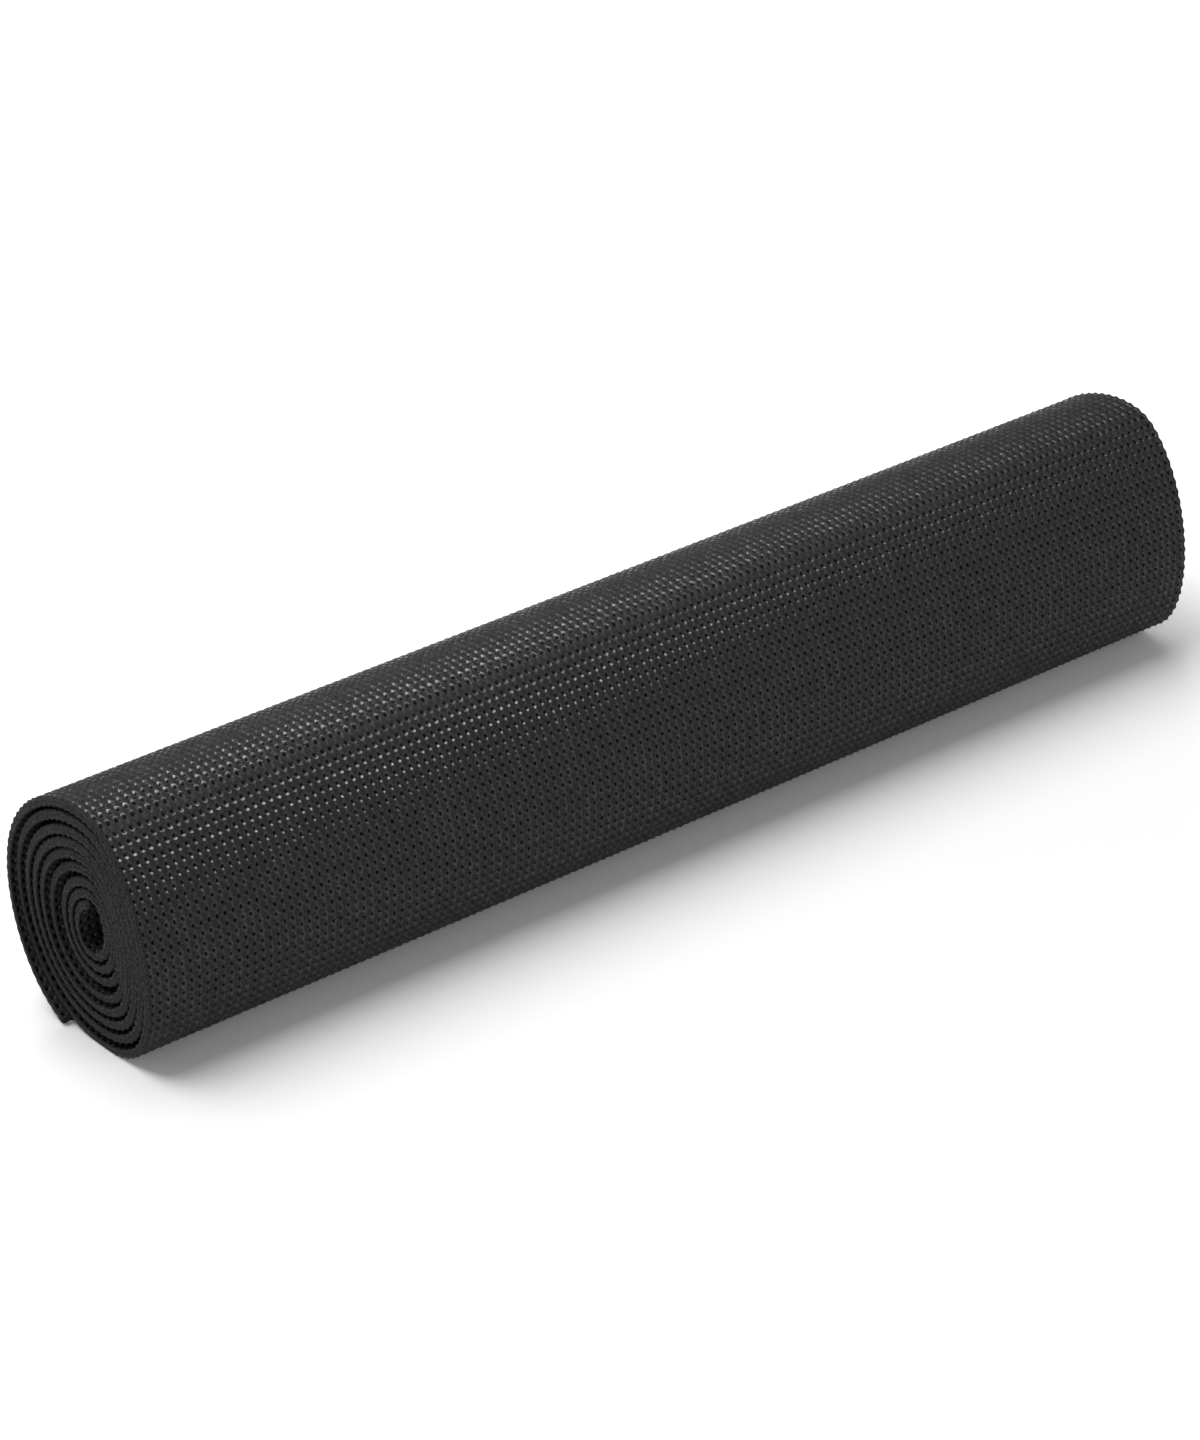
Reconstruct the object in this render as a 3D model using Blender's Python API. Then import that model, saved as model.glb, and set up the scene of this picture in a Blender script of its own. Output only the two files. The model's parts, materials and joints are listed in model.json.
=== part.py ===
"""A rolled-up yoga mat that lies on its side.

The mat is one flexible sheet of three bonded layers: foam, a thin scrim that keeps it from stretching,
and foam again. It is wound up from its inner end, loosely, so that air shows between the turns. Its
outer end is free. Four hinge lines across that end let it be peeled off the roll.
Metres, +X along the roll, +Z up, origin on the floor under the middle of the roll.
"""

import math

import bmesh
import bpy
from mathutils import Vector

# The flat sheet
MAT_LENGTH = 1.880
MAT_WIDTH = 0.610
FOAM_THICKNESS = 0.0017
SCRIM_THICKNESS = 0.0003
BOND_CLEARANCE = 0.0003
SCRIM_EDGE_INSET = 0.0015

# How it is wound. Turns are counted from the inner end.
CORE_RADIUS = 0.0105
TURN_GAP = 0.0012
CORE_RECESS = 0.0023
RECESSED_TURNS = 2.2
RECESS_FADE_TURNS = 2.8
SIDE_CREEP = 0.0017
EDGE_SLANT = 0.0008
STEPS_PER_TURN = 40

# Turns that lie more loosely on the side to which the roll sags: (turn, extra gap there)
THIRD_TURN_SLACK = 0.0044
SIXTH_TURN_SLACK = 0.0008
SEVENTH_TURN_SLACK = 0.0028
LOOSE_TURNS = ((3, THIRD_TURN_SLACK), (6, SIXTH_TURN_SLACK), (7, SEVENTH_TURN_SLACK))
LOOSE_ANGLE = math.radians(-9)

# How far the turns are from round: (lobes, height, direction of the first lobe)
CORE_OVAL_HEIGHT = 0.0018
OUTER_OVAL_HEIGHT = 0.0038
OUTER_EGG_HEIGHT = 0.0024
OUTER_CORNER_HEIGHT = 0.0012
CORE_LOBES = ((2, CORE_OVAL_HEIGHT, math.radians(110)),)
OUTER_LOBES = (
    (2, OUTER_OVAL_HEIGHT, math.radians(89)),
    (3, OUTER_EGG_HEIGHT, math.radians(-7)),
    (4, OUTER_CORNER_HEIGHT, math.radians(36)),
)

# The end of the last turn, which touches the floor beside the roll
END_ANGLE = math.radians(-66.6)
END_TUCK = 0.0006
TUCKED_TURNS = 0.2
END_CREEP = 0.0032
CREEPING_TURNS = 0.4
FLOOR_CUT = 0.0005

# The free end, which peels off the roll
FLAP_SEGMENTS = 4
STEPS_PER_SEGMENT = 3
HINGE_GAP = 0.0003

# Shading
SHARP_ANGLE = math.radians(40)
ROUGHNESS = 0.75
FOAM_COLOUR = (0.028, 0.028, 0.030, 1)
SCRIM_COLOUR = (0.11, 0.11, 0.11, 1)

SHEET_THICKNESS = 2 * (FOAM_THICKNESS + BOND_CLEARANCE) + SCRIM_THICKNESS
HALF_SHEET = SHEET_THICKNESS / 2
PITCH = SHEET_THICKNESS + TURN_GAP
LENGTH_STEPS_PER_TURN = 120
TINY_SHARE_OF_TURN = 1e-5
MM_PER_M = 1000


def smooth_step(value):
    """0 below 0, 1 above 1, and an even ramp between them."""
    value = min(max(value, 0), 1)
    return value * value * (3 - 2 * value)


def heading(turn, turns):
    """The way that the sheet's outer face looks, as an angle from +Y towards +Z.

    turn counts from the inner end, and turns is its value at the free end.
    """
    return END_ANGLE + math.tau * (turns - turn)


def lobed(lobes, angle):
    """How far a section with these lobes stands out at an angle."""
    return sum(height * math.cos(count * (angle - first)) for count, height, first in lobes)


def support(turn, turns):
    """How far the middle of the sheet lies from the axis, measured along its heading."""
    angle = heading(turn, turns)
    outer_share = turn / turns
    loose = sum(gap * smooth_step(turn - at + 1 / 2) for at, gap in LOOSE_TURNS)
    out = CORE_RADIUS + PITCH * turn
    out += loose * (1 + math.cos(angle - LOOSE_ANGLE)) / 2
    out += lobed(CORE_LOBES, angle) * (1 - outer_share) + lobed(OUTER_LOBES, angle) * outer_share
    tucked = max(0, turn - turns + TUCKED_TURNS) / TUCKED_TURNS
    return out - END_TUCK * tucked**2


def sheet_point(turn, turns, offset):
    """(y, z) of the sheet, offset from its middle towards its outer face."""
    angle = heading(turn, turns)
    rise = support(turn + TINY_SHARE_OF_TURN, turns) - support(turn - TINY_SHARE_OF_TURN, turns)
    along = -rise / (2 * TINY_SHARE_OF_TURN * math.tau)
    out = support(turn, turns) + offset
    return (
        out * math.cos(angle) - along * math.sin(angle),
        out * math.sin(angle) + along * math.cos(angle),
    )


def sheet_length(turns):
    """The length of the middle of the sheet, from its inner end to its free end."""
    count = math.ceil(turns * LENGTH_STEPS_PER_TURN)
    points = [sheet_point(turns * i / count, turns, 0) for i in range(count + 1)]
    return sum(math.dist(a, b) for a, b in zip(points, points[1:]))


def turns_of_mat():
    """The number of turns that uses up the whole mat, found by halving the range."""
    fewest, most = 0, 2 * MAT_LENGTH / (math.tau * CORE_RADIUS)
    while most - fewest > TINY_SHARE_OF_TURN:
        middle = (fewest + most) / 2
        if sheet_length(middle) < MAT_LENGTH:
            fewest = middle
        else:
            most = middle
    return most


TURNS = turns_of_mat()
FLAP_TURNS = FLAP_SEGMENTS * STEPS_PER_SEGMENT / STEPS_PER_TURN


def near_edge(turn):
    """Where the sheet's near edge lies along the roll.

    The core is set back. The side of the free end stands out, and the free end itself creeps out more.
    """
    recess = CORE_RECESS * (1 - smooth_step((turn - RECESSED_TURNS) / RECESS_FADE_TURNS))
    askew = SIDE_CREEP * (1 + math.cos(heading(turn, TURNS))) / 2
    creep = END_CREEP * smooth_step(1 - (TURNS - turn) / CREEPING_TURNS)
    return recess - askew - creep - MAT_WIDTH / 2


def section(turn, low, high, inset):
    """The four corners of a layer's cut across the sheet, between two offsets from its middle."""
    near = near_edge(turn)
    far = near + MAT_WIDTH - inset
    near += inset
    corners = []
    for offset, x in ((low, near), (high, near), (high, far), (low, far)):
        slant = EDGE_SLANT * (offset + HALF_SHEET) / SHEET_THICKNESS
        corners.append((x + slant if x == near else x, *sheet_point(turn, TURNS, offset)))
    return corners


def turns_between(first, last):
    """Turn values from first out to last, on the steps that are counted from the free end."""
    step = 1 / STEPS_PER_TURN
    inner = math.ceil((TURNS - last) / step + TINY_SHARE_OF_TURN)
    outer = math.floor((TURNS - first) / step - TINY_SHARE_OF_TURN)
    return [first, *(TURNS - k * step for k in range(outer, inner - 1, -1)), last]


def hinge_trim(turn):
    """Half of the gap at a hinge line, in turns."""
    return HINGE_GAP / 2 / (math.tau * support(turn, TURNS))


def segment_ends(segment):
    """The turns between which a segment of the free end lies. Segment 1 is the one next to the roll."""
    size = STEPS_PER_SEGMENT / STEPS_PER_TURN
    start = TURNS - FLAP_TURNS + (segment - 1) * size
    return start, start + size


LAYERS = (
    ("inner_foam", -HALF_SHEET, -HALF_SHEET + FOAM_THICKNESS, 0, FOAM_COLOUR),
    ("scrim", -SCRIM_THICKNESS / 2, SCRIM_THICKNESS / 2, SCRIM_EDGE_INSET, SCRIM_COLOUR),
    ("outer_foam", HALF_SHEET - FOAM_THICKNESS, HALF_SHEET, 0, FOAM_COLOUR),
)


def make_material(name, colour):
    material = bpy.data.materials.new(name)
    material.use_nodes = True
    shader = material.node_tree.nodes["Principled BSDF"]
    shader.inputs["Base Color"].default_value = colour
    shader.inputs["Roughness"].default_value = ROUGHNESS
    shader.inputs["Metallic"].default_value = 0
    material.diffuse_color = colour
    return material


def loft(sections, origin):
    """A closed body through four-cornered sections, with a cap on its first and its last."""
    body = bmesh.new()
    rings = [[body.verts.new(Vector(corner) - origin) for corner in corners] for corners in sections]
    for ring, following in zip(rings, rings[1:]):
        for i in range(len(ring)):
            body.faces.new((ring[i - 1], ring[i], following[i], following[i - 1]))
    body.faces.new(rings[0])
    body.faces.new(rings[-1])
    bmesh.ops.recalc_face_normals(body, faces=body.faces)
    return body


def cut_flat(body, height):
    """Takes off what lies below the height, and closes the cut with one flat face."""
    everything = [*body.verts, *body.edges, *body.faces]
    cut = bmesh.ops.bisect_plane(
        body, geom=everything, plane_co=(0, 0, height), plane_no=(0, 0, 1), clear_inner=True
    )
    edges = [item for item in cut["geom_cut"] if isinstance(item, bmesh.types.BMEdge)]
    bmesh.ops.holes_fill(body, edges=edges)
    bmesh.ops.recalc_face_normals(body, faces=body.faces)
    sides = [vert.co.y for edge in edges for vert in edge.verts]
    print(f"the flat runs from y {min(sides):.4f} to {max(sides):.4f}")


def make_object(name, body, colour, parent=None):
    mesh = bpy.data.meshes.new(name)
    body.to_mesh(mesh)
    body.free()
    mesh.shade_smooth()
    mesh.set_sharp_from_angle(angle=SHARP_ANGLE)
    mesh.materials.append(make_material(name, colour))
    made = bpy.data.objects.new(name, mesh)
    made.parent = parent
    bpy.context.scene.collection.objects.link(made)
    return made


def make_hinge(name, place, parent, parent_place):
    hinge = bpy.data.objects.new(name, None)
    hinge.empty_display_size = SHEET_THICKNESS
    hinge.location = place - parent_place
    hinge.parent = parent
    bpy.context.scene.collection.objects.link(hinge)
    return hinge


def layer_sections(layer, first, last, shift):
    _, low, high, inset, _ = layer
    found = []
    for turn in turns_between(first, last):
        found.append([Vector(corner) + shift for corner in section(turn, low, high, inset)])
    return found


def resting_place():
    """The move that brings the middle of the roll's box over the origin and its flat onto the floor."""
    steps = turns_between(0, TURNS)
    outside = [section(turn, -HALF_SHEET, HALF_SHEET, 0) for turn in steps]
    corners = [corner for found in outside for corner in found]
    middle = [(min(values) + max(values)) / 2 for values in zip(*corners)]
    roll_end = segment_ends(1)[0] - hinge_trim(TURNS)
    floor = min(sheet_point(turn, TURNS, HALF_SHEET)[1] for turn in turns_between(0, roll_end))
    return Vector((-middle[0], -middle[1], -floor - FLOOR_CUT))


def make_roll(shift):
    """The wound part of the sheet, up to the first hinge line."""
    last = segment_ends(1)[0] - hinge_trim(TURNS)
    for layer in LAYERS:
        body = loft(layer_sections(layer, 0, last, shift), Vector())
        if layer is LAYERS[-1]:
            cut_flat(body, 0)
        make_object("roll_" + layer[0], body, layer[-1])


def make_free_end(shift):
    """The last part of the sheet, as segments that hang on one another by hinge lines."""
    parent, parent_place = None, Vector()
    for segment in range(1, FLAP_SEGMENTS + 1):
        start, end = segment_ends(segment)
        first = start + hinge_trim(start)
        last = end if segment == FLAP_SEGMENTS else end - hinge_trim(end)
        place = Vector((0, *sheet_point(start, TURNS, HALF_SHEET))) + shift
        place.x = 0
        hinge = make_hinge(f"free_end_hinge_{segment}", place, parent, parent_place)
        print(f"hinge {segment}: y {place.y:.6f}, z {place.z:.6f}")
        for layer in LAYERS:
            body = loft(layer_sections(layer, first, last, shift), place)
            make_object(f"free_end_{segment}_{layer[0]}", body, layer[-1], hinge)
        parent, parent_place = hinge, place


def least_turn_gap():
    """The least distance between the faces of two neighbouring turns, on points of both."""
    count = math.ceil(TURNS * LENGTH_STEPS_PER_TURN)
    turns = [TURNS * i / count for i in range(count + 1)]
    outer = [sheet_point(turn, TURNS, HALF_SHEET) for turn in turns]
    inner = [sheet_point(turn, TURNS, -HALF_SHEET) for turn in turns]
    half_turn = LENGTH_STEPS_PER_TURN // 2
    gap = MAT_LENGTH
    for i, point in enumerate(outer):
        for other in inner[i + half_turn : i + 3 * half_turn]:
            gap = min(gap, math.dist(point, other))
    return gap


def build():
    for old in list(bpy.data.objects):
        bpy.data.objects.remove(old, do_unlink=True)
    shift = resting_place()
    print(f"the winding's axis: y {shift.y:.6f}, z {shift.z:.6f}")
    make_roll(shift)
    make_free_end(shift)
    tip = min(corner[2] for corner in section(TURNS, -HALF_SHEET, HALF_SHEET, 0)) + shift.z
    print(f"{TURNS:.2f} turns hold {sheet_length(TURNS):.4f} m of mat")
    print(f"the sheet is {SHEET_THICKNESS * MM_PER_M:.2f} mm thick")
    print(f"least gap between turns {least_turn_gap() * MM_PER_M:.2f} mm")
    print(f"the free end clears the floor by {tip * MM_PER_M:.2f} mm")


build()
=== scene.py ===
# %% [markdown]
# # A rolled-up yoga mat
#
# The real mat is one soft sheet of black PVC foam, 610 mm wide and 1880 mm long, wound up loosely
# and laid on its side. Two layers of foam are bonded to a thin woven scrim between them. Both faces
# are covered with small domes and pits, and the cut edges show plain, grainy foam.
#
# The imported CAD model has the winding, the layers and the hinge lines, with plain faces. This
# script loads it as a fixed frame and dresses it: the embossing, the cut edges, the finishes, and a
# studio to look at them in.

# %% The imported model
import json
import math

import bpy
import numpy as np
from mathutils import Matrix, Vector

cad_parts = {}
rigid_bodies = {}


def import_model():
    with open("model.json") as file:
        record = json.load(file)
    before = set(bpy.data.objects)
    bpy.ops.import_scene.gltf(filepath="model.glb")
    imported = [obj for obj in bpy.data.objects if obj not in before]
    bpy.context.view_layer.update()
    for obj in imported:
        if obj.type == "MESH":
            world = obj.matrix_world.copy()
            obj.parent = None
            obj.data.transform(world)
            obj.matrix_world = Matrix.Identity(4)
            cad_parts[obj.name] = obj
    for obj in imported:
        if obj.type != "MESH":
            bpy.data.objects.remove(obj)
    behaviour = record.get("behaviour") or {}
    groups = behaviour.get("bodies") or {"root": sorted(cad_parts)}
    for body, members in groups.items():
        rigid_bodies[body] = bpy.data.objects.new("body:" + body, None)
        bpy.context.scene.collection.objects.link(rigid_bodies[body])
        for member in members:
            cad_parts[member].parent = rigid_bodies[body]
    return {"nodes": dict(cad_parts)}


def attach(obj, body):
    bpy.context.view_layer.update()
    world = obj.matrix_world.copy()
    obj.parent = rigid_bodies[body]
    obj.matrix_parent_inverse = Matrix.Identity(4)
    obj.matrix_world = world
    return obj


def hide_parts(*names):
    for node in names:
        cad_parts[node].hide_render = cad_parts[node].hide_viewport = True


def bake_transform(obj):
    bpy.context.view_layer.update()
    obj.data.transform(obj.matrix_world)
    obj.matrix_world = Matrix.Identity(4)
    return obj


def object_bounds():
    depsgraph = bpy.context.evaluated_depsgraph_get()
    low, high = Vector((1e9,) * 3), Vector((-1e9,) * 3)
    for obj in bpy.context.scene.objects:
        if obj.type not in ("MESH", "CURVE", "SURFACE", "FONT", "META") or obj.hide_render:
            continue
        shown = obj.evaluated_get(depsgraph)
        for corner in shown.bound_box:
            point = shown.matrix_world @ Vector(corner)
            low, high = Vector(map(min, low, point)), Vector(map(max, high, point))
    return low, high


for leftover in list(bpy.data.objects):
    bpy.data.objects.remove(leftover, do_unlink=True)

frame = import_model()
cad_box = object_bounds()
bpy.ops.object.select_all(action="DESELECT")

# %% [markdown]
# ## The camera
#
# The photograph looks down along the roll from its near end, through a long lens. The camera comes
# first, because everything after it is judged from there. It leans by a few degrees, as the one in
# the photograph did.

# %% Camera
LENS_MM = 119.6
SENSOR_MM = 36
NEAREST_SEEN = 0.1
CAMERA_PLACE = Vector((-1.1641, -1.6357, 1.0982))
CAMERA_FORWARD = Vector((0.5093, 0.7257, -0.4625))
CAMERA_RIGHT = Vector((0.7976, -0.5999, -0.0631))


def make_camera():
    bpy.ops.object.camera_add(location=CAMERA_PLACE)
    camera = bpy.context.object
    camera.name = "photo_camera"
    camera.data.lens = LENS_MM
    camera.data.sensor_width = SENSOR_MM
    camera.data.clip_start = NEAREST_SEEN
    back = -CAMERA_FORWARD.normalized()
    right = (CAMERA_RIGHT - CAMERA_RIGHT.dot(back) * back).normalized()
    turned = Matrix((right, back.cross(right), back)).transposed()
    camera.rotation_euler = turned.to_euler()
    bpy.context.scene.camera = camera


make_camera()
print(f"the camera stands {CAMERA_PLACE.length:.2f} m off, with a lens of {LENS_MM} mm")

# %% [markdown]
# ## The line that the sheet is wound along
#
# The sheet is modelled flat and wound up at the end with a Curve modifier, as the real one is. The
# curve is the middle of the sheet. It has the CAD part's own sizes, so that the dressed mat lies
# exactly where the solids are. Every point of a section is given by the way the sheet faces there,
# its heading, and by how far out it lies.

# %% Sizes of the sheet, as in the CAD part
MAT_LENGTH = 1.880
MAT_WIDTH = 0.610
HALF_SHEET = 0.00215
HALF_SCRIM = 0.00015
HINGES = 4
HINGE_TURNS = 0.075
print(f"the flat sheet measures {MAT_LENGTH} by {MAT_WIDTH} m, and has {HINGES} hinge lines")

# %% Shape of the winding, as in the CAD part
CORE_RADIUS = 0.0105
PITCH = 0.0055
THIRD_TURN_SLACK = 0.0044
SIXTH_TURN_SLACK = 0.0008
SEVENTH_TURN_SLACK = 0.0028
LOOSE_TURNS = ((3, THIRD_TURN_SLACK), (6, SIXTH_TURN_SLACK), (7, SEVENTH_TURN_SLACK))
LOOSE_ANGLE = math.radians(-9)
CORE_OVAL_HEIGHT = 0.0018
OUTER_OVAL_HEIGHT = 0.0038
OUTER_EGG_HEIGHT = 0.0024
OUTER_CORNER_HEIGHT = 0.0012
CORE_LOBES = ((2, CORE_OVAL_HEIGHT, math.radians(110)),)
OUTER_LOBES = (
    (2, OUTER_OVAL_HEIGHT, math.radians(89)),
    (3, OUTER_EGG_HEIGHT, math.radians(-7)),
    (4, OUTER_CORNER_HEIGHT, math.radians(36)),
)
END_ANGLE = math.radians(-66.6)
END_TUCK = 0.0006
TUCKED_TURNS = 0.2
AXIS_Y = -0.007380
AXIS_Z = 0.059768
SLOPE_NUDGE = 1e-5


def smooth_step(value):
    value = np.clip(value, 0, 1)
    return value * value * (3 - 2 * value)


def heading(turn, turns):
    return END_ANGLE + math.tau * (turns - turn)


def lobed(lobes, angle):
    return sum(height * np.cos(count * (angle - first)) for count, height, first in lobes)


def support(turn, turns):
    """How far out the sheet's middle lies, measured square to the sheet."""
    angle = heading(turn, turns)
    outer_share = turn / turns
    loose = sum(gap * smooth_step(turn - at + 1 / 2) for at, gap in LOOSE_TURNS)
    out = CORE_RADIUS + PITCH * turn + loose * (1 + np.cos(angle - LOOSE_ANGLE)) / 2
    out += lobed(CORE_LOBES, angle) * (1 - outer_share) + lobed(OUTER_LOBES, angle) * outer_share
    tucked = np.maximum(0, turn - turns + TUCKED_TURNS) / TUCKED_TURNS
    return out - END_TUCK * tucked**2


def middle_line(turns, count):
    """Turn values, and the y and z of the sheet's middle at each."""
    turn = np.linspace(0, turns, count)
    angle, out = heading(turn, turns), support(turn, turns)
    rise = support(turn + SLOPE_NUDGE, turns) - support(turn - SLOPE_NUDGE, turns)
    along = -rise / (2 * SLOPE_NUDGE * math.tau)
    y = out * np.cos(angle) - along * np.sin(angle)
    z = out * np.sin(angle) + along * np.cos(angle)
    return turn, np.stack((y, z), axis=1)


print("the innermost turn starts", CORE_RADIUS, "m out, and each turn adds", PITCH)

# %% How many turns hold the sheet
FEWEST_TURNS = 1.0
MOST_TURNS = 20.0
TURNS_WITHIN = 1e-6
POINTS_WHILE_TRYING = 4000
POINTS_KEPT = 8000


def lengths_along(points):
    steps = np.linalg.norm(np.diff(points, axis=0), axis=1)
    return np.concatenate(([0], np.cumsum(steps)))


def turns_of_mat():
    fewest, most = FEWEST_TURNS, MOST_TURNS
    while most - fewest > TURNS_WITHIN:
        middle = (fewest + most) / 2
        if lengths_along(middle_line(middle, POINTS_WHILE_TRYING)[1])[-1] < MAT_LENGTH:
            fewest = middle
        else:
            most = middle
    return most


TURNS = turns_of_mat()
turn_table, line_points = middle_line(TURNS, POINTS_KEPT)
length_table = lengths_along(line_points) * MAT_LENGTH / lengths_along(line_points)[-1]
print(f"{TURNS:.3f} turns hold {length_table[-1]:.4f} m")


def turn_at(length):
    return np.interp(length, length_table, turn_table)


def length_at(turn):
    return float(np.interp(turn, turn_table, length_table))


def middle_at(length):
    """The y and z of the sheet's middle, at a length from its inner end."""
    y = np.interp(length, length_table, line_points[:, 0]) + AXIS_Y
    z = np.interp(length, length_table, line_points[:, 1]) + AXIS_Z
    return y, z


# %% The sheet's near edge, which creeps sideways
CORE_RECESS = 0.0023
RECESSED_TURNS = 2.2
RECESS_FADE_TURNS = 2.8
SIDE_CREEP = 0.0017
END_CREEP = 0.0032
CREEPING_TURNS = 0.4


def near_edge(length):
    """Where the sheet's near edge lies along the roll.

    The core is set back. The side of the free end stands out, and the free end itself creeps out
    more.
    """
    turn = turn_at(length)
    recess = CORE_RECESS * (1 - smooth_step((turn - RECESSED_TURNS) / RECESS_FADE_TURNS))
    askew = SIDE_CREEP * (1 + np.cos(heading(turn, TURNS))) / 2
    creep = END_CREEP * smooth_step(1 - (TURNS - turn) / CREEPING_TURNS)
    return recess - askew - creep - MAT_WIDTH / 2


AXIS_X = cad_box[0].x - near_edge(length_table).min()
print(f"the near edge wanders over {np.ptp(near_edge(length_table)) * 1000:.1f} mm")

# %% The curve
PATH_STEP = 0.0005


def draw_path():
    count = round(MAT_LENGTH / PATH_STEP) + 1
    y, z = middle_at(np.linspace(0, MAT_LENGTH, count))
    curve = bpy.data.curves.new("winding_path", "CURVE")
    curve.dimensions = "2D"
    line = curve.splines.new("POLY")
    line.points.add(count - 1)
    flat = np.stack((y, z, np.zeros(count), np.ones(count)), axis=1)
    line.points.foreach_set("co", flat.ravel())
    path = bpy.data.objects.new("winding_path", curve)
    path.hide_render = True
    bpy.context.scene.collection.objects.link(path)
    return path


winding_path = draw_path()
print("the winding path has", len(winding_path.data.splines[0].points), "points")

# %% [markdown]
# ## One cell of the embossing
#
# The foam is embossed with a pattern that repeats every 5 mm along the sheet and every 4.15 mm
# across it: two domes, one deep pit and one shallow pit in each cell. One cell is modelled, as a
# small grid whose points are raised or sunk, and Array modifiers repeat it. The pattern could also
# be a bump in the material alone, but then the outline of the roll would be smooth, and in the
# photograph it is beaded.

# %% Heights in a cell
CELLS_ALONG = 376
CELLS_ACROSS = 147
CELL_LENGTH = MAT_LENGTH / CELLS_ALONG
CELL_WIDTH = MAT_WIDTH / CELLS_ACROSS
FACE_LEVEL = 0.00183
DOME_HEIGHT = 0.00054
SHALLOW_PIT_RISE = 0.00022
PIT_DEPTH = 0.00090
PIT_RADIUS = 0.00080


def embossing(along, across):
    """Height over the face's level, at a place in a cell. The deep pit lies in its middle."""
    a, b = math.tau * (along - 0.5), math.tau * (across - 0.5)
    domes = -DOME_HEIGHT * np.cos(a) * np.cos(b)
    shallow = SHALLOW_PIT_RISE * (1 - np.cos(a)) * (1 - np.cos(b)) / 4
    away = np.hypot((along - 0.5) * CELL_LENGTH, (across - 0.5) * CELL_WIDTH)
    return domes + shallow - PIT_DEPTH * np.exp(-((away / PIT_RADIUS) ** 2) / 2)


print(f"a cell measures {CELL_LENGTH * 1000:.2f} by {CELL_WIDTH * 1000:.2f} mm")

# %% Embossed field
STEPS_IN_CELL_LENGTH = 6
STEPS_IN_CELL_WIDTH = 4
DRAWN_TO_PIT = 0.05
TOUCHING = 1e-5


def points_of(piece):
    flat = np.empty(len(piece.data.vertices) * 3)
    piece.data.vertices.foreach_get("co", flat)
    return flat.reshape(-1, 3)


def set_points(piece, points):
    piece.data.vertices.foreach_set("co", points.ravel())
    piece.data.update()


def work_on(piece):
    bpy.ops.object.select_all(action="DESELECT")
    piece.select_set(True)
    bpy.context.view_layer.objects.active = piece


def repeat(piece, name, count, step):
    """Copies the piece along a step with an Array modifier, and merges the copies' edges."""
    array = piece.modifiers.new(name, "ARRAY")
    array.count = count
    array.use_relative_offset = False
    array.use_constant_offset = True
    array.constant_offset_displace = step
    array.use_merge_vertices = True
    array.merge_threshold = TOUCHING
    bpy.ops.object.modifier_apply(modifier=name)


def embossed_field(name, cells_along, cells_across, across_from):
    """A flat field of embossed foam.

    X runs along the sheet, Z across it, and Y is up out of its face. The grid's lines are drawn
    towards the pit, where the shape is tightest.
    """
    bpy.ops.mesh.primitive_grid_add(
        x_subdivisions=STEPS_IN_CELL_LENGTH,
        y_subdivisions=STEPS_IN_CELL_WIDTH,
        size=1,
        rotation=(-math.pi / 2, 0, 0),
        location=(0.5, 0, 0.5),
    )
    piece = bpy.context.object
    piece.name = name
    bpy.ops.object.transform_apply(location=True, rotation=True, scale=True)
    cell = points_of(piece)
    cell += DRAWN_TO_PIT * np.sin(math.tau * cell) * (1, 0, 1)
    cell[:, 1] = FACE_LEVEL + embossing(cell[:, 0], cell[:, 2])
    cell[:, 0] *= CELL_LENGTH
    cell[:, 2] = cell[:, 2] * CELL_WIDTH + across_from
    set_points(piece, cell)
    work_on(piece)
    repeat(piece, "along", cells_along, (CELL_LENGTH, 0, 0))
    repeat(piece, "across", cells_across, (0, 0, CELL_WIDTH))
    return piece


print("faces in a cell:", STEPS_IN_CELL_LENGTH * STEPS_IN_CELL_WIDTH)

# %% [markdown]
# ## A layer of foam
#
# The mat's two layers of foam are alike: one face is embossed, and the other is bonded to the
# scrim. Here a layer starts as its embossed face. The rim is extruded down to the middle of the
# sheet, like the cut edge of the real mat, then in and around the scrim's edge, and the two sides
# are bridged by the bonded face. Where nobody can see between the turns, only a strip along each
# edge is embossed, to keep the mesh light.

# %% The cut edges of a layer
EDGE_BULGE = 0.00012
EDGE_FLARE = 0.00020
FLARE_WIDTH = 0.0030
EDGE_LEVELS = (0.0010, 0.0005, 0.0)
SCRIM_POCKET = 0.0012
SCRIM_STEP = 0.0002


def flare_edges(piece):
    """Swells the face a little towards both cut edges, where the foam was pressed by the cut."""
    points = points_of(piece)
    inside = MAT_WIDTH / 2 - np.abs(points[:, 2])
    points[:, 1] += EDGE_FLARE * (1 - smooth_step(inside / FLARE_WIDTH))
    set_points(piece, points)


def select_points(piece, chosen):
    """Selects these vertices, and the edges and faces between them, ready for edit mode."""
    work_on(piece)
    bpy.ops.object.mode_set(mode="EDIT")
    bpy.ops.mesh.select_mode(type="VERT")
    bpy.ops.mesh.select_all(action="DESELECT")
    bpy.ops.object.mode_set(mode="OBJECT")
    piece.data.vertices.foreach_set("select", chosen)
    bpy.ops.object.mode_set(mode="EDIT")


def extrude_by(move):
    bpy.ops.mesh.extrude_edges_move(TRANSFORM_OT_translate={"value": move})


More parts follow.
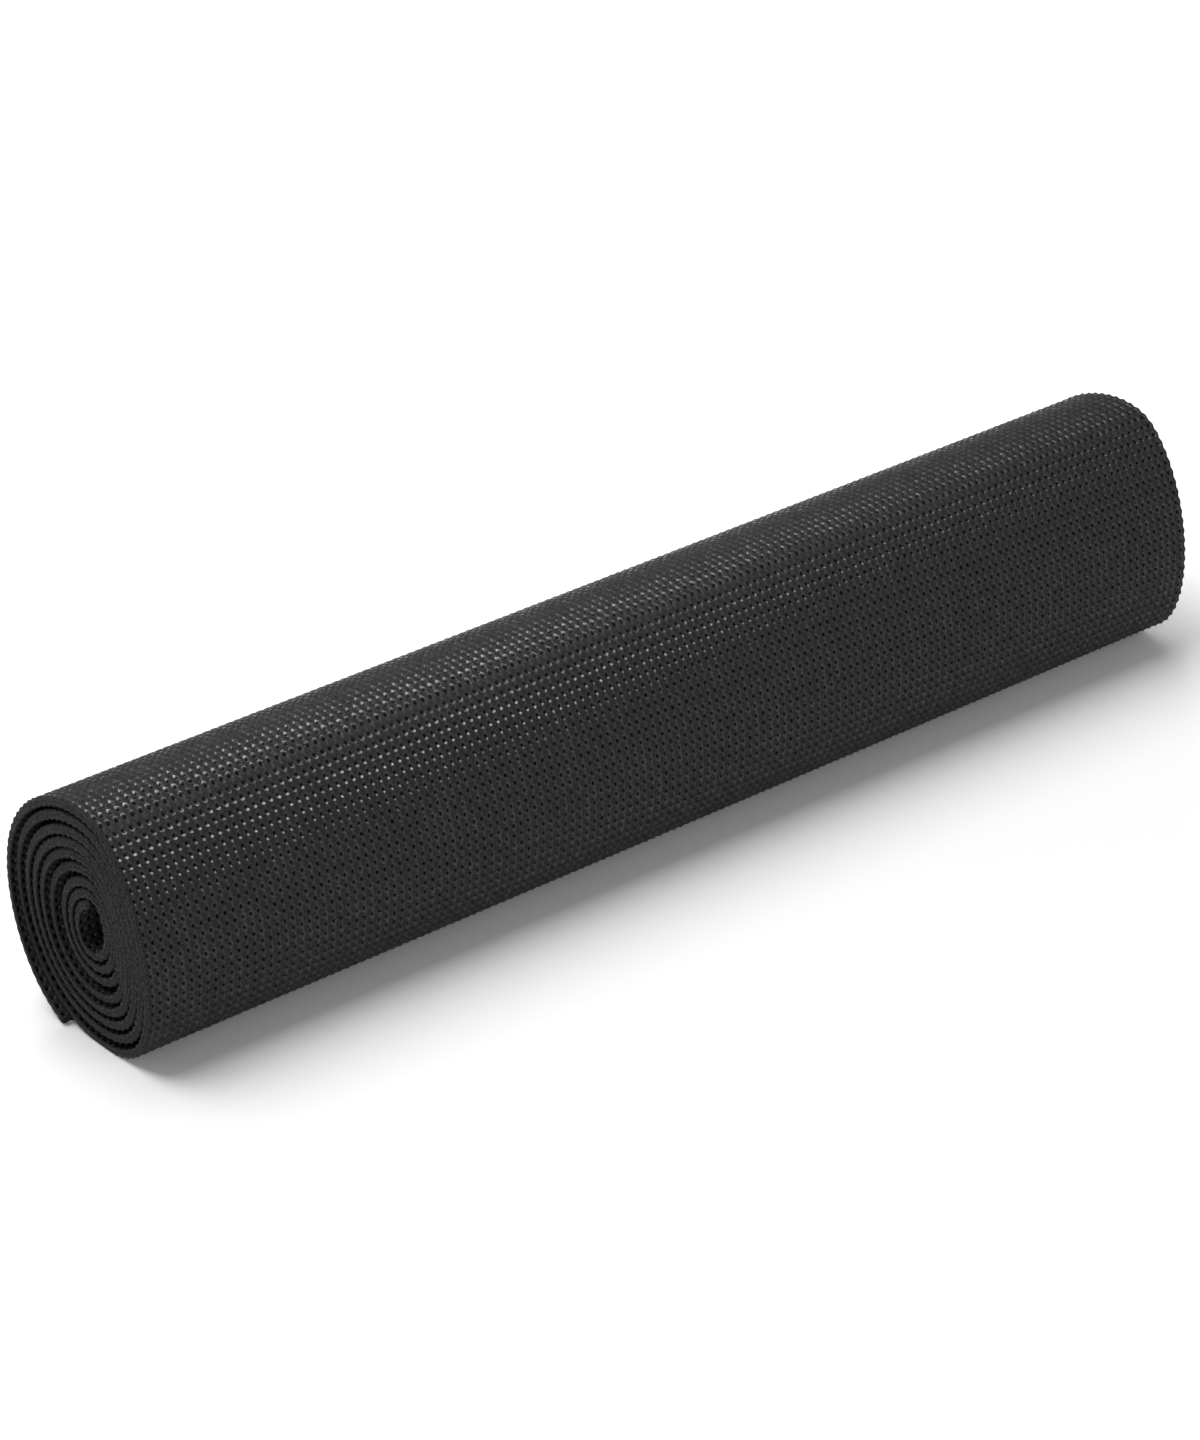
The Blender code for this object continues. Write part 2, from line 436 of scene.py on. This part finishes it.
def extrude_rim(piece, side):
    """Takes the rim at one edge of the sheet down to the middle, and in around the scrim.

    side is -1 at the near edge, and 1 at the far one.
    """
    points = points_of(piece)
    select_points(piece, np.abs(points[:, 2] - side * MAT_WIDTH / 2) < TOUCHING)
    swell = side * EDGE_BULGE
    for level, move in zip(EDGE_LEVELS, (swell, 0, -swell)):
        extrude_by((0, 0, move))
        bpy.ops.transform.resize(value=(1, 0, 1), center_override=(0, level, 0))
    extrude_by((0, 0, -side * SCRIM_POCKET))
    extrude_by((0, HALF_SCRIM, -side * SCRIM_STEP))
    bpy.ops.object.mode_set(mode="OBJECT")


print("levels of the cut edge over the sheet's middle:", EDGE_LEVELS)

# %% Foam layer
EDGE_CELLS = 6


def bridge_between(piece, chosen):
    select_points(piece, chosen)
    bpy.ops.mesh.bridge_edge_loops()
    bpy.ops.object.mode_set(mode="OBJECT")


def cap_at(piece, along):
    """Closes the layer with one flat face where it ends along the sheet."""
    select_points(piece, np.abs(points_of(piece)[:, 0] - along) < TOUCHING)
    bpy.ops.mesh.edge_face_add()
    bpy.ops.object.mode_set(mode="OBJECT")


def two_strips(name, cells_along):
    """Embossed strips along both edges, with a plain face between them."""
    far_strip = MAT_WIDTH / 2 - EDGE_CELLS * CELL_WIDTH
    near = embossed_field("near_strip", cells_along, EDGE_CELLS, -MAT_WIDTH / 2)
    piece = embossed_field(name, cells_along, EDGE_CELLS, far_strip)
    near.select_set(True)
    bpy.ops.object.join()
    bridge_between(piece, np.abs(np.abs(points_of(piece)[:, 2]) - far_strip) < TOUCHING)
    return piece


def flat_layer(name, cells_along, embossed_all_over):
    """A closed flat layer of foam that starts at x 0, with its embossed face up along +Y."""
    if embossed_all_over:
        piece = embossed_field(name, cells_along, CELLS_ACROSS, -MAT_WIDTH / 2)
    else:
        piece = two_strips(name, cells_along)
    flare_edges(piece)
    print(name, "has", len(piece.data.vertices), "embossed points")
    extrude_rim(piece, -1)
    extrude_rim(piece, 1)
    points = points_of(piece)
    pocket = MAT_WIDTH / 2 - SCRIM_POCKET - SCRIM_STEP
    on_scrim = np.abs(points[:, 1] - HALF_SCRIM) < TOUCHING
    at_pocket = np.abs(np.abs(points[:, 2]) - pocket) < TOUCHING
    bridge_between(piece, on_scrim & at_pocket)
    cap_at(piece, 0)
    cap_at(piece, cells_along * CELL_LENGTH)
    select_points(piece, np.ones(len(piece.data.vertices), bool))
    bpy.ops.mesh.normals_make_consistent(inside=False)
    bpy.ops.object.mode_set(mode="OBJECT")
    return piece


# %% [markdown]
# ## Finishes
#
# The skin of the foam is black PVC. Its domes are matt, and their tops are painted a lighter grey,
# a painted highlight for the light that falls on them; the high grains are greyer too. The
# embossing roller has pressed the walls of the deep pits smooth, so they glint, and the pits are
# painted near black inside, a painted shade. The glint is a thin coat in a ring round each pit, a
# little different in each cell. The pattern follows the sheet, so it is drawn on the sheet's own UV
# map, whose unit is one embossed cell. The cut edges are open foam: matt, and full of small pores
# in no order, so they are drawn with noise on Object coordinates. The pores are painted dark, a
# painted shade.

# %% Node helpers
def new_finish(name, specular, roughness):
    """A material with nodes. Specular and roughness go on the shader's own sockets."""
    finish = bpy.data.materials.new(name)
    finish.use_nodes = True
    shader = finish.node_tree.nodes["Principled BSDF"]
    shader.inputs["Specular IOR Level"].default_value = specular
    shader.inputs["Roughness"].default_value = roughness
    return finish, shader


def add_node(finish, kind, sockets=None, **settings):
    """Adds a node. Plain values go into its sockets, and other nodes' outputs are linked."""
    node = finish.node_tree.nodes.new(kind)
    for setting, value in settings.items():
        setattr(node, setting, value)
    for name, value in (sockets or {}).items():
        if isinstance(value, bpy.types.NodeSocket):
            finish.node_tree.links.new(value, node.inputs[name])
        else:
            node.inputs[name].default_value = value
    return node


def maths(finish, operation, *values, use_clamp=False):
    sockets = dict(enumerate(values))
    node = add_node(finish, "ShaderNodeMath", sockets, operation=operation, use_clamp=use_clamp)
    return node.outputs[0]


def vector_maths(finish, operation, *values, output="Vector"):
    sockets = dict(enumerate(values))
    return add_node(finish, "ShaderNodeVectorMath", sockets, operation=operation).outputs[output]


def spread(finish, value, old, new, smooth=False):
    """Maps one range of values, a low and a high, to another, and stops at its ends."""
    sockets = {"Value": value}
    sockets.update(zip(("From Min", "From Max", "To Min", "To Max"), old + new))
    way = "SMOOTHSTEP" if smooth else "LINEAR"
    node = add_node(finish, "ShaderNodeMapRange", sockets, clamp=True, interpolation_type=way)
    return node.outputs["Result"]


def mixed_colour(finish, share, first, second):
    sockets = {"Factor": share, "A": first, "B": second}
    return add_node(finish, "ShaderNodeMix", sockets, data_type="RGBA").outputs["Result"]


def noise_on(finish, place, scale, detail):
    sockets = {"Vector": place, "Scale": scale, "Detail": detail}
    return add_node(finish, "ShaderNodeTexNoise", sockets).outputs["Fac"]


def parts_of(finish, vector):
    return add_node(finish, "ShaderNodeSeparateXYZ", {"Vector": vector}).outputs


def bump_from(finish, height, distance, **under):
    """A bump, on top of the one that is given as Normal, if any."""
    sockets = {"Height": height, "Distance": distance, "Strength": 1.0, **under}
    return add_node(finish, "ShaderNodeBump", sockets).outputs["Normal"]


# %% Foam skin: its pattern
SHEET_MAP = "sheet_cells"
CELL_MIDDLE = (0.5, 0.5, 0)
NOISE_MIDDLE = (0.5, 0.5, 0.5)
PIT_STRETCH = 1.5
MM_PER_CELL = (CELL_LENGTH * 1000 / PIT_STRETCH, CELL_WIDTH * 1000, 0)
WANDER_PER_CELL = 2.2
WANDER_MM = 0.8


def distance_to_pit(finish, cells, centred):
    """How far a point lies from the middle of its pit, in mm, with some wander."""
    away = vector_maths(finish, "MULTIPLY", centred, MM_PER_CELL)
    noise = add_node(finish, "ShaderNodeTexNoise", {"Vector": cells, "Scale": WANDER_PER_CELL})
    wander = vector_maths(finish, "SUBTRACT", noise.outputs["Color"], NOISE_MIDDLE)
    wander = vector_maths(finish, "MULTIPLY", wander, (WANDER_MM, WANDER_MM, 0))
    moved = vector_maths(finish, "ADD", away, wander)
    return vector_maths(finish, "LENGTH", moved, output="Value")


def dome_wave(finish, centred):
    """-1 on top of the two domes of a cell and 1 in its two pits, as in the embossing."""
    turned = vector_maths(finish, "MULTIPLY", centred, (math.tau, math.tau, 0))
    waves = parts_of(finish, vector_maths(finish, "COSINE", turned))
    return maths(finish, "MULTIPLY", waves["X"], waves["Y"])


# %% Foam skin: its finish
SKIN_COLOUR = (0.0145, 0.0145, 0.0149, 1)
# Lighter grey for the high grains, and for the painted light on the dome tops.
GRAIN_AND_LIT_DOME_COLOUR = (0.0800, 0.0800, 0.0819, 1)
# Painted shade: near black in the pits.
PIT_SHADE_COLOUR = (0.0040, 0.0040, 0.0042, 1)
SKIN_SPECULAR = 0.02
SKIN_ROUGHNESS = (0.55, 0.68)
BLOTCHES_PER_CELL = 0.23
BLOTCH_SHADES = (0.3, 0.7)
GRAIN_PER_CELL = 9.0
GRAIN_SHADES = (0.35, 0.65)
GRAIN_HEIGHT = 0.00012
GRAIN_WEAR = 0.8
# How strong the painted light on the dome tops is.
DOME_PAINTED_LIGHT = 0.35
PIT_BUMP = 0.00045
SHALLOWEST_PIT = 0.6
PIT_WALL_MM = (0.25, 1.15)
# How far from a pit's middle its painted shade reaches, in mm.
PIT_SHADE_MM = (0.25, 1.00)
SHINY_FROM_MM = (0.45, 0.80)
SHINY_UP_TO_MM = (1.15, 1.55)
DULLEST_WALL = 0.35
WALL_IOR = 1.38
WALL_ROUGHNESS = 0.20


def skin_colour(finish, reach, grain, centred):
    """Painted shade in the pits, painted light on the dome tops, greyer high grains."""
    # Painted light: the dome tops are drawn lighter, standing in for the light that falls on them.
    tops = maths(finish, "MULTIPLY", dome_wave(finish, centred), -DOME_PAINTED_LIGHT)
    tops = maths(finish, "MAXIMUM", tops, 0)
    grains = spread(finish, grain, GRAIN_SHADES, (0, GRAIN_WEAR))
    grain_and_painted_light = maths(finish, "ADD", grains, tops, use_clamp=True)
    speckled_and_lit = mixed_colour(finish, grain_and_painted_light, SKIN_COLOUR, GRAIN_AND_LIT_DOME_COLOUR)
    # Painted shade: the pits are drawn near black, standing in for the shade inside them.
    painted_pit_shade = spread(finish, reach, PIT_SHADE_MM, (1, 0), smooth=True)
    return mixed_colour(finish, painted_pit_shade, speckled_and_lit, PIT_SHADE_COLOUR)


def pit_gloss(finish, reach, chance):
    """The weight of the coat: a ring on the wall of each pit, duller in some cells."""
    wall = spread(finish, reach, SHINY_FROM_MM, (0, 1), smooth=True)
    rim = spread(finish, reach, SHINY_UP_TO_MM, (1, 0), smooth=True)
    dulled = spread(finish, chance, (0, 1), (1, DULLEST_WALL))
    return maths(finish, "MULTIPLY", maths(finish, "MULTIPLY", wall, rim), dulled)


def skin_bump(finish, reach, grain, chance):
    """The fine grain, and on top of it the sharp wall of each pit, less deep in some cells."""
    rise = spread(finish, reach, PIT_WALL_MM, (0, 1), smooth=True)
    depth = spread(finish, chance, (0, 1), (SHALLOWEST_PIT, 1))
    grains = bump_from(finish, grain, GRAIN_HEIGHT)
    return bump_from(finish, maths(finish, "MULTIPLY", rise, depth), PIT_BUMP, Normal=grains)


def make_skin():
    finish, shader = new_finish("foam_skin", SKIN_SPECULAR, SKIN_ROUGHNESS[0])
    shader.inputs["Coat Roughness"].default_value = WALL_ROUGHNESS
    shader.inputs["Coat IOR"].default_value = WALL_IOR
    cells = add_node(finish, "ShaderNodeUVMap", uv_map=SHEET_MAP).outputs["UV"]
    centred = vector_maths(finish, "SUBTRACT", vector_maths(finish, "FRACTION", cells), CELL_MIDDLE)
    reach = distance_to_pit(finish, cells, centred)
    cell = {"Vector": vector_maths(finish, "FLOOR", cells)}
    chance = add_node(finish, "ShaderNodeTexWhiteNoise", cell, noise_dimensions="2D")
    chance = chance.outputs["Value"]
    grain = noise_on(finish, cells, GRAIN_PER_CELL, detail=4)
    blotches = noise_on(finish, cells, BLOTCHES_PER_CELL, detail=3)
    for name, made in (
        ("Base Color", skin_colour(finish, reach, grain, centred)),
        ("Coat Weight", pit_gloss(finish, reach, chance)),
        ("Roughness", spread(finish, blotches, BLOTCH_SHADES, SKIN_ROUGHNESS)),
        ("Normal", skin_bump(finish, reach, grain, chance)),
    ):
        finish.node_tree.links.new(made, shader.inputs[name])
    return finish


foam_skin = make_skin()
print(foam_skin.name, "has", len(foam_skin.node_tree.nodes), "nodes")

# %% Cut foam
CUT_COLOUR = (0.0600, 0.0600, 0.0611, 1)
# Painted shade in the pores; the same colour gives the darker grains their tone.
PORE_SHADE_AND_GRAIN_COLOUR = (0.0060, 0.0060, 0.0062, 1)
CUT_SPECULAR = 0.25
CUT_ROUGHNESS = 0.85
CUT_GRAINS_PER_M = 1100
CUT_GRAIN_HEIGHT = 0.0005
DARK_GRAINS = (0.42, 0.60)
GRAIN_DARKNESS = 0.9
PORES_PER_M = 1300
PORE_HEIGHT = 0.0002
PORE_SIZE = (0.1, 0.5)
PORE_SHADE = 0.7


def make_cut_foam():
    finish, shader = new_finish("cut_foam", CUT_SPECULAR, CUT_ROUGHNESS)
    place = add_node(finish, "ShaderNodeTexCoord").outputs["Object"]
    grain = noise_on(finish, place, CUT_GRAINS_PER_M, detail=3)
    sockets = {"Vector": place, "Scale": PORES_PER_M}
    pores = add_node(finish, "ShaderNodeTexVoronoi", sockets, feature="F1").outputs["Distance"]
    # Painted shade: the pores are drawn dark, standing in for the shade inside them. The darker
    # grains are tone that differs at random.
    painted_pore_shade = spread(finish, pores, PORE_SIZE, (PORE_SHADE, 0))
    dark_grains = spread(finish, grain, DARK_GRAINS, (GRAIN_DARKNESS, 0))
    shade = maths(finish, "ADD", painted_pore_shade, dark_grains, use_clamp=True)
    colour = mixed_colour(finish, shade, CUT_COLOUR, PORE_SHADE_AND_GRAIN_COLOUR)
    bump = bump_from(finish, pores, PORE_HEIGHT, Normal=bump_from(finish, grain, CUT_GRAIN_HEIGHT))
    finish.node_tree.links.new(colour, shader.inputs["Base Color"])
    finish.node_tree.links.new(bump, shader.inputs["Normal"])
    return finish


cut_foam = make_cut_foam()
print(cut_foam.name, "has", len(cut_foam.node_tree.nodes), "nodes")

# %% Scrim
SCRIM_COLOUR = (0.110, 0.108, 0.104, 1)
SCRIM_GAP_COLOUR = (0.030, 0.030, 0.030, 1)
SCRIM_SPECULAR = 0.3
SCRIM_ROUGHNESS = 0.8
SCRIM_THREADS_PER_M = 900
THREAD_HEIGHT = 0.0001


def make_scrim():
    """A plain weave of thin polyester threads, which lies inside the foam."""
    finish, shader = new_finish("woven_scrim", SCRIM_SPECULAR, SCRIM_ROUGHNESS)
    place = parts_of(finish, add_node(finish, "ShaderNodeTexCoord").outputs["Object"])
    threads = []
    for side in ("X", "Z"):
        turned = maths(finish, "MULTIPLY", place[side], math.tau * SCRIM_THREADS_PER_M)
        threads.append(maths(finish, "SINE", turned))
    weave = spread(finish, maths(finish, "MAXIMUM", *threads), (-1, 1), (0, 1))
    colour = mixed_colour(finish, weave, SCRIM_GAP_COLOUR, SCRIM_COLOUR)
    finish.node_tree.links.new(colour, shader.inputs["Base Color"])
    finish.node_tree.links.new(bump_from(finish, weave, THREAD_HEIGHT), shader.inputs["Normal"])
    return finish


woven_scrim = make_scrim()
scrims = [node for name, node in frame["nodes"].items() if name.endswith("scrim")]
for scrim in scrims:
    scrim.data.materials.clear()
    scrim.data.materials.append(woven_scrim)
print(woven_scrim.name, "is on", len(scrims), "CAD nodes")

# %% [markdown]
# ## Winding a layer up
#
# A flat layer is slid to its place along the sheet, and its near edge is drawn in at the core and
# out at the free end, as the photograph shows. A Curve modifier then winds it along the path. The
# path was drawn flat, so the wound layer is stood up at the end. Layers that follow each other
# share their embossing, so the normals at their joints are copied from one cell further in, and no
# line shows where one piece ends.

# %% Skin, cut foam and the sheet's map
SKIN_SLOT, CUT_SLOT = 0, 1
SKIN_SLOPE = 0.35


def finish_faces(piece):
    """Gives the embossed face its skin and the rest its cut foam."""
    piece.data.materials.clear()
    piece.data.materials.append(foam_skin)
    piece.data.materials.append(cut_foam)
    normals = np.empty(len(piece.data.polygons) * 3)
    piece.data.polygons.foreach_get("normal", normals)
    chosen = np.where(normals.reshape(-1, 3)[:, 1] > SKIN_SLOPE, SKIN_SLOT, CUT_SLOT)
    piece.data.polygons.foreach_set("material_index", chosen.astype(np.int32))


def map_sheet(piece, first_cell):
    """The UV map: cells along the sheet, and cells across it."""
    points = points_of(piece)
    corners = np.empty(len(piece.data.loops), np.int32)
    piece.data.loops.foreach_get("vertex_index", corners)
    along = points[corners, 0] / CELL_LENGTH + first_cell
    across = (points[corners, 2] + MAT_WIDTH / 2) / CELL_WIDTH
    layer = piece.data.uv_layers.new(name=SHEET_MAP)
    layer.data.foreach_set("uv", np.stack((along, across), axis=1).ravel())


steepest = math.degrees(math.acos(SKIN_SLOPE))
print(f"faces that lean by less than {steepest:.0f} degrees are skin")


# %% Normals where two lengths meet
def joint_normals(piece, cells_along):
    """At both ends of the layer, the normals of the points one cell further in. Zero elsewhere."""
    points = points_of(piece)
    normals = np.empty(len(points) * 3)
    piece.data.vertex_normals.foreach_get("vector", normals)
    normals = normals.reshape(-1, 3)
    found = np.zeros_like(normals)
    skin = points[:, 1] > EDGE_LEVELS[0] + TOUCHING
    for end, step in ((0, CELL_LENGTH), (cells_along * CELL_LENGTH, -CELL_LENGTH)):
        ends = np.flatnonzero(skin & (np.abs(points[:, 0] - end) < TOUCHING))
        inside = np.flatnonzero(skin & (np.abs(points[:, 0] - end - step) < TOUCHING))
        ends = ends[np.argsort(points[ends, 2])]
        inside = inside[np.argsort(points[inside, 2])]
        found[ends] = normals[inside]
    return found


def turned_with_sheet(normals, lengths):
    """Flat normals, turned as the sheet turns there."""
    angle = heading(turn_at(lengths), TURNS)
    along = np.stack((np.zeros_like(angle), np.sin(angle), -np.cos(angle)), axis=1)
    out = np.stack((np.zeros_like(angle), np.cos(angle), np.sin(angle)), axis=1)
    turned = normals[:, :1] * along + normals[:, 1:2] * out
    turned[:, 0] += normals[:, 2]
    return turned


# %% Wind
EDGE_SLANT = 0.0008
SLANT_REACH = 0.006
SMOOTH_ANGLE = math.radians(50)
STAND_UP = Matrix(((0, 0, 1, 0), (1, 0, 0, 0), (0, 1, 0, 0), (0, 0, 0, 1)))


def rest_on_floor(piece):
    """Flattens the domes that carry the roll's weight."""
    points = points_of(piece)
    points[:, 2] = np.maximum(points[:, 2], 0)
    set_points(piece, points)


def slid_into_place(points, first_cell, side):
    """Flat points, moved to their place along and across the sheet. The inner layer is mirrored."""
    points[:, 0] += first_cell * CELL_LENGTH
    points[:, 1] *= side
    reach = np.clip(1 - (points[:, 2] + MAT_WIDTH / 2) / SLANT_REACH, 0, 1)
    points[:, 2] += EDGE_SLANT * (points[:, 1] + HALF_SHEET) / (2 * HALF_SHEET) * reach
    points[:, 2] += near_edge(points[:, 0]) + MAT_WIDTH / 2 + AXIS_X
    return points


def wind(piece, side, first_cell, cells_along):
    """Winds a flat layer up. side is 1 for the outer layer, and -1 for the inner one, a mirror."""
    finish_faces(piece)
    map_sheet(piece, first_cell)
    normals = joint_normals(piece, cells_along)
    normals[:, 1] *= side
    points = slid_into_place(points_of(piece), first_cell, side)
    set_points(piece, points)
    work_on(piece)
    if side < 0:
        bpy.ops.object.mode_set(mode="EDIT")
        bpy.ops.mesh.select_all(action="SELECT")
        bpy.ops.mesh.flip_normals()
        bpy.ops.object.mode_set(mode="OBJECT")
    bend = piece.modifiers.new("wind", "CURVE")
    bend.object = winding_path
    bend.deform_axis = "POS_X"
    bpy.ops.object.modifier_apply(modifier="wind")
    piece.data.transform(STAND_UP)
    rest_on_floor(piece)
    bpy.ops.object.shade_smooth_by_angle(angle=SMOOTH_ANGLE)
    ends = np.abs(normals).sum(axis=1) > 0
    normals[ends] = turned_with_sheet(normals[ends], points[ends, 0])
    piece.data.normals_split_custom_set_from_vertices(normals)
    return piece


# %% [markdown]
# ## The pieces of the sheet
#
# One mesh of the whole sheet would be too heavy to handle, and the free end has to bend at its
# hinge lines, so the sheet is made in lengths of whole cells. The lengths of the free end cross the
# hinge lines, and are not fixed to a body here. The rest ride with the roll.

# %% Lengths of sheet
EMBOSSED_TURNS = 1.4


def turn_of_hinge(hinge):
    """Hinge 1 is next to the roll, and the last one is nearest the tip."""
    return TURNS - HINGE_TURNS * (HINGES + 1 - hinge)


def cell_at(turn):
    return round(length_at(turn) / CELL_LENGTH)


def even_cuts(first, last, parts):
    return [first + round((last - first) * i / parts) for i in range(parts + 1)]


flap_cuts = [cell_at(turn_of_hinge(hinge - 0.5)) for hinge in range(1, HINGES + 1)] + [CELLS_ALONG]
wrap_start = cell_at(TURNS - EMBOSSED_TURNS)
print("the free end's lengths start at cells", flap_cuts, "and the embossed wrap at", wrap_start)


def dress(name, side, first_cell, last_cell, body, embossed_all_over=True):
    """Makes one length of one layer, which stands for that layer's CAD solid on a body."""
    layer = "outer" if side > 0 else "inner"
    cells = last_cell - first_cell
    flat = flat_layer(f"{name}_{layer}", cells, embossed_all_over)
    piece = wind(flat, side, first_cell, cells)
    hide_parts(f"{body}_{layer}_foam")
    return piece


def bend_at_hinge(piece):
    """Bakes the length's transform into its mesh. It is not blended between the two bodies."""
    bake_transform(piece)


# %% The free end, in one length round each of its four hinge lines
for hinge, (first_cell, last_cell) in enumerate(zip(flap_cuts, flap_cuts[1:]), start=1):
    name, body = f"embossed_end_{hinge}", f"free_end_{hinge}"
    for side in (1, -1):
        piece = dress(name, side, first_cell, last_cell, body)
        bend_at_hinge(piece)
print("free end made in", len(flap_cuts) - 1, "lengths")

# %% The roll
WRAP_LENGTHS = 4
INNER_LENGTHS = 2

wrap_cuts = even_cuts(wrap_start, flap_cuts[0], WRAP_LENGTHS)
for number, (first_cell, last_cell) in enumerate(zip(wrap_cuts, wrap_cuts[1:]), start=1):
    piece = dress(f"embossed_last_turn_{number}", 1, first_cell, last_cell, "roll")
    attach(piece, "roll")

for side, end in ((1, wrap_start), (-1, flap_cuts[0])):
    turn_cuts = even_cuts(0, end, INNER_LENGTHS)
    for number, (first_cell, last_cell) in enumerate(zip(turn_cuts, turn_cuts[1:]), start=1):
        name = f"embossed_inner_turns_{number}"
        piece = dress(name, side, first_cell, last_cell, "roll", embossed_all_over=False)
        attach(piece, "roll")
bpy.data.objects.remove(winding_path, do_unlink=True)

# %% [markdown]
# ## The studio
#
# The mat lies on a plain white floor that runs on to the horizon. The floor is whiter to the camera
# than to the lamps, so that it turns clean white while its shadow stays. Far from the mat, where
# the lamps don't reach, it is plain white to the camera. The sky is pale at the horizon and dark
# overhead.

# %% Floor and sky
FLOOR_SIZE = 40
FLOOR_COLOUR = (0.8, 0.8, 0.8, 1)
FLOOR_SEEN_COLOUR = (1.62, 1.62, 1.62, 1)
FLOOR_FADES_OVER = (0.8, 1.6)
BLACK = (0, 0, 0, 1)
WHITE = (1, 1, 1, 1)
SKY_FADES_OVER = (0.30, 0.75)
SKY_STRENGTH = 0.45
OVERHEAD_COLOUR = 0.12


def seen_directly(finish):
    """1 for rays from the camera and those that come by gloss or through glass, else 0."""
    path = add_node(finish, "ShaderNodeLightPath").outputs
    shiny = maths(finish, "MAXIMUM", path["Is Camera Ray"], path["Is Glossy Ray"])
    return maths(finish, "MAXIMUM", shiny, path["Is Transmission Ray"])


def make_floor():
    bpy.ops.object.select_all(action="DESELECT")
    bpy.ops.mesh.primitive_plane_add(size=FLOOR_SIZE)
    floor = bpy.context.object
    floor.name = "studio_floor"
    paper, shader = new_finish("white_paper", specular=0, roughness=1)
    seen = seen_directly(paper)
    tone = mixed_colour(paper, seen, FLOOR_COLOUR, FLOOR_SEEN_COLOUR)
    place = add_node(paper, "ShaderNodeTexCoord").outputs["Object"]
    away = vector_maths(paper, "LENGTH", place, output="Value")
    far = spread(paper, away, FLOOR_FADES_OVER, (0, 1), smooth=True)
    glow = maths(paper, "MULTIPLY", far, seen)
    links = paper.node_tree.links
    links.new(mixed_colour(paper, glow, tone, BLACK), shader.inputs["Base Color"])
    links.new(glow, shader.inputs["Emission Strength"])
    shader.inputs["Emission Color"].default_value = WHITE
    floor.data.materials.append(paper)


def make_sky():
    world = bpy.data.worlds.new("pale_sky")
    bpy.context.scene.world = world
    world.use_nodes = True
    way = parts_of(world, add_node(world, "ShaderNodeTexCoord").outputs["Generated"])
    colour = spread(world, way["Z"], SKY_FADES_OVER, (1, OVERHEAD_COLOUR), smooth=True)
    strength = spread(world, seen_directly(world), (0, 1), (SKY_STRENGTH, 1))
    sky = world.node_tree.nodes["Background"]
    world.node_tree.links.new(colour, sky.inputs["Color"])
    world.node_tree.links.new(strength, sky.inputs["Strength"])


make_floor()
make_sky()
bpy.context.scene.view_settings.view_transform = "Standard"
print("the floor fades to plain white between", FLOOR_FADES_OVER, "m from the mat")

# %% [markdown]
# ## The lamps
#
# One large soft key lamp hangs above and behind the mat and throws a soft shadow to the front, as
# in the photograph. A back lamp brings out the domes along the top line, and a low fill lamp lights
# the front. A small lamp with a narrow beam only shines in the pits of the near half, where the
# photograph has its glints.

# %% Lamps
MAT_MIDDLE = Vector((0, 0, 0.06))
NEAR_END = Vector((-0.28, 0, 0.06))
KEY_PLACE = Vector((-0.50, 0.62, 2.30))
KEY_SIZE = 2.2
KEY_POWER = 35
BACK_PLACE = Vector((1.25, 2.0, 0.80))
BACK_SIZE = 1.3
BACK_POWER = 14
GLOSS_PLACE = Vector((0.15, -0.20, 1.10))
GLOSS_SIZE = 0.85
GLOSS_POWER = 4.2
GLOSS_BEAM = math.radians(64)
FILL_PLACE = Vector((0.60, -2.25, 0.45))
FILL_SIZE = 2.0
FILL_POWER = 13


def make_lamp(name, place, size, power, target=MAT_MIDDLE):
    bpy.ops.object.light_add(type="AREA", location=place)
    lamp = bpy.context.object
    lamp.name = name
    lamp.data.shape = "DISK"
    lamp.data.size = size
    lamp.data.energy = power
    lamp.visible_camera = False
    lamp.rotation_euler = (target - place).to_track_quat("-Z", "Y").to_euler()
    return lamp


make_lamp("key_lamp", KEY_PLACE, KEY_SIZE, KEY_POWER)
make_lamp("back_lamp", BACK_PLACE, BACK_SIZE, BACK_POWER)
gloss_lamp = make_lamp("gloss_lamp", GLOSS_PLACE, GLOSS_SIZE, GLOSS_POWER, target=NEAR_END)
gloss_lamp.data.spread = GLOSS_BEAM
gloss_lamp.visible_diffuse = False
fill_lamp = make_lamp("fill_lamp", FILL_PLACE, FILL_SIZE, FILL_POWER)
fill_lamp.visible_glossy = False

# %% Sizes
print("CAD box", [tuple(round(v, 4) for v in corner) for corner in cad_box])
